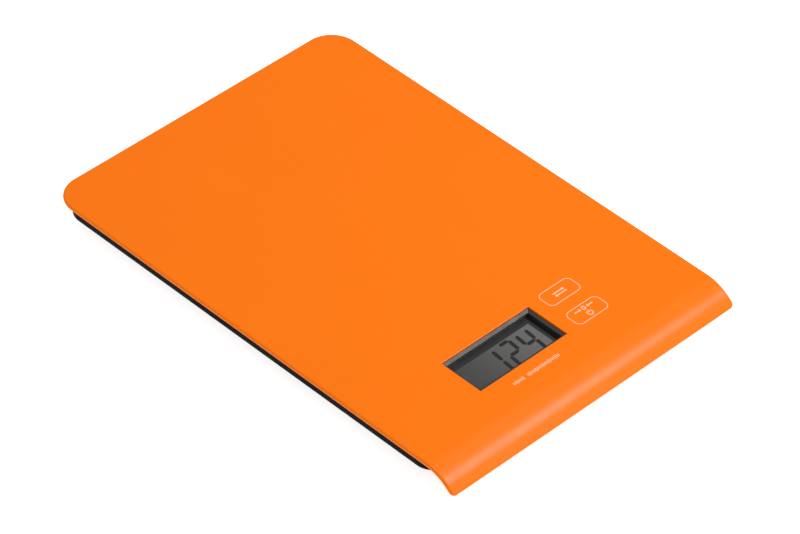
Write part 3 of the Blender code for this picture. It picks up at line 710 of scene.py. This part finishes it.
def make_bezel():
    """A stepped frame: it fills the opening, widens under the plate and seals on the glass."""
    low = Vector((WINDOW_LOW.x + BEZEL_FIT, WINDOW_LOW.y + BEZEL_FIT, BEZEL_LOW.z))
    high = Vector((WINDOW_HIGH.x - BEZEL_FIT, WINDOW_HIGH.y - BEZEL_FIT, BEZEL_HIGH.z))
    bezel = rounded_box("bezel_frame", low, high, (0.3, 0.3), (4, 4), top_edge=0.12, edge_steps=3)
    join(bezel, boxes("flange", [(BEZEL_LOW, (BEZEL_HIGH.x, BEZEL_HIGH.y, PLATE_BOTTOM - GAP))]))
    gasket_low = (low.x + GASKET_INSET, low.y + GASKET_INSET, LCD_HIGH.z + GASKET_GAP)
    gasket_high = (high.x - GASKET_INSET, high.y - GASKET_INSET, BEZEL_LOW.z + GASKET_INSET)
    join(bezel, boxes("gasket", [(gasket_low, gasket_high)]))
    wall = BEZEL_WALL
    inner_low = (low.x + wall, low.y + wall, low.z - 1)
    inner_high = (high.x - wall, high.y - wall, TOP + 1)
    cut(bezel, rounded_box("opening", inner_low, inner_high, (0.25, 0.25), (4, 4)))
    drop = BEZEL_SLOPE_DROP
    cut(bezel, boxes("opening_slope", [((inner_low[0], inner_low[1], high.z - drop),
                                        (inner_high[0], inner_high[1], high.z + drop))],
                     2 * drop / math.tan(EDGE_SLOPE)))
    finished(bezel, BEZEL, BODY, "bezel_plastic", "display_bezel", angle=20)


SEGMENTS = {"1": "bc", "2": "abged", "4": "fgbc"}
SHOWN = "124"
SEGMENT_GAP = 0.18
SEGMENT_LOW, SEGMENT_HIGH = 0.004, 0.02     # above the glass
DIGIT_HEIGHT = 15.5
DIGIT_WIDTH = 7.0
DIGIT_STROKE = 1.75
DIGIT_PITCH = 9.25
DIGIT_SLANT = 0.09
DIGIT_MIDDLE_Y = -77.5
LAST_DIGIT_RIGHT = 5.0


def segment_outline(letter, left, middle_y):
    """Six-sided outline of one bar of a seven-segment figure."""
    half, gap = DIGIT_STROKE / 2, SEGMENT_GAP
    tall = (DIGIT_HEIGHT - DIGIT_STROKE) / 2
    wide = DIGIT_WIDTH - DIGIT_STROKE
    corners = {"a": ((0, 2), (1, 2)), "b": ((1, 1), (1, 2)), "c": ((1, 0), (1, 1)), "d": ((0, 0), (1, 0)),
               "e": ((0, 0), (0, 1)), "f": ((0, 1), (0, 2)), "g": ((0, 1), (1, 1))}
    (x0, y0), (x1, y1) = [(left + half + i * wide, middle_y + (j - 1) * tall) for i, j in corners[letter]]
    if y0 == y1:
        x0, x1 = x0 + gap, x1 - gap
        points = [(x0, y0), (x0 + half, y0 - half), (x1 - half, y0 - half), (x1, y0), (x1 - half, y0 + half),
                  (x0 + half, y0 + half)]
    else:
        y0, y1 = y0 + gap, y1 - gap
        points = [(x0, y0), (x0 + half, y0 + half), (x0 + half, y1 - half), (x0, y1), (x0 - half, y1 - half),
                  (x0 - half, y0 + half)]
    return [(x + DIGIT_SLANT * (y - middle_y), y) for x, y in points]


def make_lcd():
    """The glass, and the lit segments as thin dark shapes just over it."""
    panel = rounded_box("lcd_glass", LCD_LOW, LCD_HIGH, (0.3, 0.3), (4, 4), top_edge=0.1, edge_steps=2)
    finished(panel, LCD, BODY, "lcd_glass", "lcd_panel")
    outlines = []
    for place, figure in enumerate(reversed(SHOWN)):
        left = LAST_DIGIT_RIGHT - DIGIT_WIDTH - place * DIGIT_PITCH
        outlines += [segment_outline(letter, left, DIGIT_MIDDLE_Y) for letter in SEGMENTS[figure]]
    figures = outline_plate("lcd_figures", outlines, LCD_HIGH.z + SEGMENT_LOW, LCD_HIGH.z + SEGMENT_HIGH)
    finished(figures, SEGMENT, BODY, "black_epoxy")


# ---------------------------------------------------------------- tray

def bay_box(half, bottom, top):
    return (BAY[0] - half[0], BAY[1] - half[1], bottom), (BAY[0] + half[0], BAY[1] + half[1], top)


def foot_centre(name):
    """Middle of a foot, in X and Y."""
    low, high = box_mm("foot_pad_" + name)
    return (low.x + high.x) / 2, (low.y + high.y) / 2


def make_tray():
    """The base: seats and holes for the feet, screw holes, and the battery bay with its door's recess."""
    tray = rounded_box("tray_base", TRAY_LOW, TRAY_HIGH, (TRAY_CORNER, TRAY_CORNER), (20, 20),
                       bottom_edge=TRAY_EDGE, edge_steps=8)
    inner = TRAY_CORNER - TRAY_WALL
    cut(tray, rounded_box("hollow", (TRAY_LOW.x + TRAY_WALL, TRAY_LOW.y + TRAY_WALL, FLOOR_TOP),
                          (TRAY_HIGH.x - TRAY_WALL, TRAY_HIGH.y - TRAY_WALL, TRAY_HIGH.z + 2), (inner, inner),
                          (16, 16)))
    feet = [foot_centre(name) for name in FEET]
    low = FLOOR_TOP - SINK

    def squares(half, bottom, top):
        return [((x - half, y - half, bottom), (x + half, y + half, top)) for x, y in feet]

    join(tray, boxes("seats", squares(CELL_POCKET + SEAT_WALL, low, SEAT_TOP)))
    cut(tray, boxes("pockets", squares(CELL_POCKET, CELL_BOTTOM - GAP, SEAT_TOP + 1)))
    soft = FOOT_HOLE_EDGE
    cut(tray, posts("foot_holes", feet, FOOT_HOLE, BELOW, CELL_BOTTOM, 72))
    cut(tray, posts("foot_hole_edges", feet, FOOT_HOLE + 2 * soft, TRAY_LOW.z - soft, TRAY_LOW.z + soft, 72,
                    FOOT_HOLE))
    join(tray, posts("screw_pads", CASE_SCREWS, CASE_PAD, low, CASE_PAD_TOP, 32))
    cut(tray, posts("screw_holes", CASE_SCREWS, SCREW_HOLE, BELOW, CASE_PAD_TOP + 1, 32))
    cut(tray, posts("screw_sinks", CASE_SCREWS, SCREW_SINK, BELOW, FLOOR_TOP + 0.1, 40))
    cut(tray, posts("screw_sink_edges", CASE_SCREWS, SCREW_SINK_MOUTH, TRAY_LOW.z - SCREW_SINK_EDGE,
                    TRAY_LOW.z + SCREW_SINK_EDGE, 40, SCREW_SINK))

    join(tray, boxes("bay", [bay_box(BAY_OUTER, low, BAY_TOP)]))
    cut(tray, boxes("bay_hollow", [bay_box(BAY_INNER, BELOW, BAY_CEILING)]))
    recess = (DOOR_HALF[0] + GAP, DOOR_HALF[1] + GAP)
    cut(tray, boxes("door_recess", [bay_box(recess, BELOW, FLOOR_TOP + 0.1)]))
    slot = DOOR_PIN + DOOR_PIN_CLEARANCE
    front = BAY[1] - recess[1]
    side = DOOR_HALF[0] + DOOR_SLOT_REACH
    cut(tray, boxes("door_slots", [
        ((BAY[0] - side, DOOR_AXIS_Y - slot, BELOW), (BAY[0] + side, DOOR_AXIS_Y + slot, DOOR_AXIS_Z + slot)),
        ((BAY[0] - LATCH_SLOT_HALF, front - LATCH_SLOT_REACH, BELOW),
         (BAY[0] + LATCH_SLOT_HALF, front + 0.5, FLOOR_TOP - 0.1))]))
    wall_y = BAY[1] - BAY_OUTER[1]
    cut(tray, boxes("contact_slots", [((x[0], wall_y - 1, z[0]), (x[1], wall_y + 4, z[1]))
                                      for x, z in CONTACT_SLOTS]))
    finished(tray, BLACK, BODY, "black_plastic", "base_shell")


def make_case_screws():
    """Pan-head screws with a threaded shank and a cross recess, heads down."""
    for number, place in enumerate(CASE_SCREWS, 1):
        low, high = box_mm("case_screw_%d" % number)
        head_radius = (high.x - low.x) / 2
        bottom, neck = low.z, low.z + 1.1
        profile = [(0.0, high.z), (0.45, high.z - 0.5)]
        turns, shank = 5, 0.9
        pitch = (high.z - 1.3 - neck) / turns
        for turn in range(turns):
            z = high.z - 1.0 - turn * pitch
            profile += [(shank, z - pitch * 0.5), (shank - 0.2, z - pitch * 0.8)]
        profile += [(shank - 0.2, neck), (head_radius, neck), (head_radius, bottom + 0.5),
                    (head_radius * 0.93, bottom + 0.24), (head_radius * 0.72, bottom + 0.06), (0.0, bottom)]
        screw = turned("cross_screw_%d" % number, profile, place, 40)
        arm, reach, depth = 0.28, 1.15, 0.75
        for half_x, half_y in ((reach, arm), (arm, reach)):
            cut(screw, boxes("recess", [((place[0] - half_x, place[1] - half_y, bottom - 1),
                                         (place[0] + half_x, place[1] + half_y, bottom + depth))]))
        finished(screw, SCREW_STEEL, BODY, "screw_steel", "case_screw_%d" % number)


def make_feet():
    """Each foot is a turned cup, which presses on its load cell, with a grooved rubber pad in it."""
    for name in FEET:
        centre = foot_centre(name)
        low, high = box_mm("foot_carrier_" + name)
        radius = (high.x - low.x) / 2
        top, rim, disc_top, recess = high.z, low.z, 4.4, 2.5
        carrier = [(0.0, top), (1.2, top), (1.5, top - 0.1), (2.0, top - 0.5), (1.2, top - 0.7), (1.2, 6.1),
                   (3.8, 6.1), (4.0, 5.9), (4.0, disc_top), (radius - 0.3, disc_top),
                   (radius, disc_top - 0.3), (radius, rim + 0.25), (radius - 0.08, rim + 0.08),
                   (radius - 0.25, rim), (9.5, rim), (9.3, rim + 0.2), (9.3, recess), (0.0, recess)]
        piece = turned("foot_cup_" + name, carrier, centre, 96)
        finished(piece, BLACK, name + "_foot", "black_plastic", "foot_carrier_" + name)
        pad = [(0.0, 2.2), (8.9, 2.2), (9.0, 2.1), (9.0, 0.75), (8.9, 0.42), (8.65, 0.16), (8.3, 0.02),
               (8.1, 0.0)]
        for groove in (6.6, 4.6, 2.6):
            pad += [(groove + 0.45, 0.0), (groove + 0.3, 0.25), (groove - 0.3, 0.25), (groove - 0.45, 0.0)]
        pad.append((0.0, 0.0))
        piece = turned("foot_rubber_" + name, pad, centre, 96)
        finished(piece, FOOT_RUBBER, name + "_foot", "foot_rubber", "foot_pad_" + name)


# ---------------------------------------------------------------- battery

def make_door():
    """The battery door: hinge pins at the back, a latch at the front, and grip grooves by the latch."""
    half = DOOR_THICKNESS / 2
    x, y = DOOR_HALF
    low_z, high_z = DOOR_AXIS_Z - half, DOOR_AXIS_Z + half
    front = BAY[1] - y
    door = rounded_box("battery_cover", (-x, front, low_z), (x, DOOR_AXIS_Y, high_z), (DOOR_CORNER, 0.0),
                       (6, 1), bottom_edge=DOOR_EDGE, edge_steps=3)

    def along_x(name, radius, reach, sides):
        def build(bm):
            place = Matrix.Translation(Vector((0.0, DOOR_AXIS_Y, DOOR_AXIS_Z)) * MM)
            bmesh.ops.create_cone(bm, cap_ends=True, segments=sides, radius1=radius * MM, radius2=radius * MM,
                                  depth=2 * reach * MM, matrix=place @ Matrix.Rotation(math.pi / 2, 4, "Y"))
        return new_mesh(name, build)

    join(door, along_x("door_hinge_edge", half, x, 48))
    join(door, along_x("door_pins", DOOR_PIN, x + DOOR_PIN_REACH, 32))
    join(door, boxes("door_latch", [((-LATCH_HALF, front - LATCH_REACH, DOOR_AXIS_Z - 0.1),
                                     (LATCH_HALF, front + 1.0, high_z - 0.1))]))
    for step in range(GRIP_LINES):
        line = front + GRIP_FIRST + GRIP_PITCH * step
        reach = GRIP_HALF_LENGTH - GRIP_SHORTER * step
        cut(door, boxes("grip", [((-reach, line - GRIP_HALF, low_z - 1),
                                  (reach, line + GRIP_HALF, low_z + GRIP_HALF))]))
    finished(door, BLACK, "battery_door", "black_plastic", "battery_door")


def make_coin():
    """The coin cell, plus side down, with a plus sign pressed into it."""
    low, high = box_mm("coin_cell")
    radius, top, bottom = (high.x - low.x) / 2, high.z, low.z
    profile = [(0.0, top), (8.5, top), (8.75, top - 0.06), (8.85, top - 0.25), (8.9, top - 0.42),
               (9.15, top - 0.4), (9.6, top - 0.42), (9.85, top - 0.55), (radius, top - 0.85),
               (radius, bottom + 0.35), (radius - 0.1, bottom + 0.1), (radius - 0.35, bottom),
               (7.6, bottom), (7.5, bottom + 0.06), (7.2, bottom + 0.06), (7.1, bottom), (0.0, bottom)]
    coin = turned("button_cell", profile, BAY, 120)
    arm, reach = 0.35, 1.8
    for half_x, half_y in ((reach, arm), (arm, reach)):
        cut(coin, boxes("plus", [((BAY[0] - half_x, BAY[1] + 3.5 - half_y, bottom - 1),
                                  (BAY[0] + half_x, BAY[1] + 3.5 + half_y, bottom + 0.08))]))
    finished(coin, CELL_STEEL, BODY, "plated_steel", "coin_cell")


# ---------------------------------------------------------------- inner pieces kept from the CAD

KEPT_MATERIALS = {
    "lcd_holder": WHITE, "zebra_strip": ZEBRA, "main_pcb": BOARD, "chip_blob": EPOXY, "capacitor": CERAMIC,
    "touch_spring": SPRING, "pcb_screw": SCREW_STEEL, "case_screw": SCREW_STEEL, "load_cell_lead": GREY_LEAD,
    "load_cell": CELL_STEEL, "strain_gauge": RESIN, "battery_contact": SPRING, "battery_lead_plus": RED_LEAD,
    "battery_lead_minus": BLACK_LEAD, "top_cover": ORANGE, "base_shell": BLACK, "display_bezel": BEZEL,
    "lcd_panel": LCD, "foot_carrier": BLACK, "foot_pad": FOOT_RUBBER, "battery_door": BLACK,
    "coin_cell": CELL_STEEL,
}


def dress_kept_nodes():
    for name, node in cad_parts.items():
        fitting = max((key for key in KEPT_MATERIALS if name.startswith(key)), key=len)
        node.data.materials.clear()
        node.data.materials.append(KEPT_MATERIALS[fitting])


# ---------------------------------------------------------------- stage

def seen_or_lighting(tree, seen, lighting):
    """A strength that is one value where the camera looks and another where it lights other surfaces."""
    strength = tree.nodes.new("ShaderNodeMapRange")
    strength.inputs["To Min"].default_value = lighting
    strength.inputs["To Max"].default_value = seen
    tree.links.new(tree.nodes.new("ShaderNodeLightPath").outputs["Is Camera Ray"], strength.inputs["Value"])
    return strength.outputs["Result"]


def make_floor():
    """A pale floor just under the feet; seen from below it is clear, so that the underside shows."""
    def build(bm):
        bmesh.ops.create_grid(bm, x_segments=1, y_segments=1, size=FLOOR_HALF_M,
                              matrix=Matrix.Translation((0.0, 0.0, -FLOOR_DROP * MM)))
    floor = new_mesh("floor", build)
    nodes = Nodes("pale_floor")
    nodes.colour(nodes.blend(nodes.noise(900.0), (0.86, 0.86, 0.86, 1.0), (0.88, 0.88, 0.88, 1.0)))
    nodes.set(Roughness=0.9, Specular_IOR_Level=0.1)
    nodes.shader.inputs["Emission Color"].default_value = (1.0, 1.0, 1.0, 1.0)
    nodes.link(seen_or_lighting(nodes.tree, *FLOOR_GLOW), nodes.shader.inputs["Emission Strength"])
    two_sided = nodes.add("ShaderNodeMixShader")
    nodes.link(nodes.add("ShaderNodeNewGeometry").outputs["Backfacing"], two_sided.inputs[0])
    nodes.link(nodes.shader.outputs[0], two_sided.inputs[1])
    nodes.link(nodes.add("ShaderNodeBsdfTransparent").outputs[0], two_sided.inputs[2])
    nodes.link(two_sided.outputs[0], nodes.tree.nodes["Material Output"].inputs["Surface"])
    floor.data.materials.append(nodes.material)


def softbox(name, direction, distance, size, power, aim=(0.0, 0.0, 0.0)):
    """A rectangular area light that faces a point; metres and watts."""
    light = bpy.data.lights.new(name, "AREA")
    light.shape = "RECTANGLE"
    light.size, light.size_y = size
    light.energy = power
    obj = bpy.data.objects.new(name, light)
    obj.location = Vector(aim) + Vector(direction).normalized() * distance
    obj.rotation_mode = "QUATERNION"
    obj.rotation_quaternion = Vector(direction).to_track_quat("Z", "Y")
    bpy.context.scene.collection.objects.link(obj)
    return obj


def make_light():
    """A white room, a wide soft light overhead, and a key light from the front right that lines the lip."""
    world = bpy.data.worlds.new("studio")
    world.use_nodes = True
    tree = world.node_tree
    background = tree.nodes["Background"]
    background.inputs["Color"].default_value = (1.0, 1.0, 1.0, 1.0)
    tree.links.new(seen_or_lighting(tree, *ROOM_GLOW), background.inputs["Strength"])
    bpy.context.scene.world = world
    softbox("key_softbox", direction=(0.5445, -0.378, 0.749), distance=1.5, size=(0.36, 0.36), power=9.6,
            aim=(-0.08, -0.1, 0.0))
    softbox("overhead_softbox", direction=(0.15, -0.06, 1.0), distance=1.3, size=(1.2, 1.2), power=7.35)
    bpy.context.scene.view_settings.view_transform = "Standard"


def make_camera():
    data = bpy.data.cameras.new("camera")
    data.lens = LENS
    data.sensor_width = SENSOR
    data.clip_end = 20.0
    camera = bpy.data.objects.new("camera", data)
    camera.location = EYE_M
    camera.rotation_mode = "QUATERNION"
    level = (AIM_M - EYE_M).to_track_quat("-Z", "Y")
    camera.rotation_quaternion = level @ Quaternion((0.0, 0.0, 1.0), ROLL)
    bpy.context.scene.collection.objects.link(camera)
    bpy.context.scene.camera = camera


make_camera()
make_floor()
make_light()
make_platform()
make_marks()
make_bezel()
make_lcd()
make_tray()
make_case_screws()
make_feet()
make_door()
make_coin()
dress_kept_nodes()
